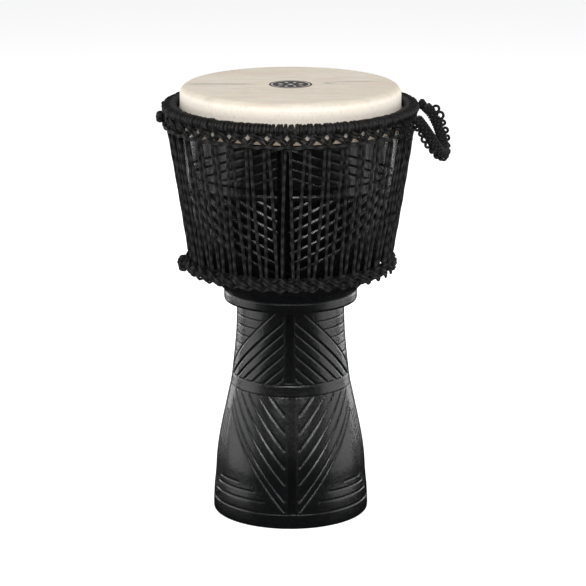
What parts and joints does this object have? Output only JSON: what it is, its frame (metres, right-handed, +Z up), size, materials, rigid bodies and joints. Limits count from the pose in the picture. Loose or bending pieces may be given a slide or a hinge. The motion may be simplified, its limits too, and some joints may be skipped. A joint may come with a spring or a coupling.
{
  "type": "goblet hand drum",
  "caption": "Rope-tuned goblet hand drum: carved black wooden shell, goat-skin head laced over steel hoops, and a swinging loop of knotted cord.",
  "frame": {"origin": "centre of the foot, on the surface that the drum stands on", "axes": "+Z up along the drum's axis, -Y towards the front carving, +X towards the carrying loop"},
  "size_m": [0.4037, 0.3572, 0.61],
  "materials": {
    "black_wood": "carved hardwood under satin black lacquer",
    "goat_skin": "shaved natural goat skin, dry and slightly translucent",
    "steel": "bent and welded round hoop steel",
    "black_rope": "braided low-stretch black rope, slightly fuzzy"
  },
  "bodies": {
    "drum": {"shell": "black_wood", "drum_skin": "goat_skin", "flesh_hoop": "steel", "crown_hoop": "steel", "crown_sleeve": "black_rope", "cradle_rope_inner": "black_rope", "cradle_rope_outer": "black_rope", "hem_rope": "black_rope", "lacing_rope": "black_rope", "weave_rope_inner": "black_rope", "weave_rope_outer": "black_rope", "bottom_hoop": "steel", "bottom_sleeve": "black_rope", "lacing_tie": "black_rope", "crown_knot": "black_rope", "tail_knob": "black_rope", "loop_hitch_rear": "black_rope", "loop_hitch_front": "black_rope"},
    "loop": {"carrying_loop": "black_rope"}
  },
  "joints": [
    {"name": "loop_swing", "type": "hinge", "parent": "drum", "child": "loop", "pos_m": [0.1787, -0.03555, 0.5775], "axis": [-0.194, -0.9809, -0.0121], "range_deg": [-28, 130]}
  ]
}
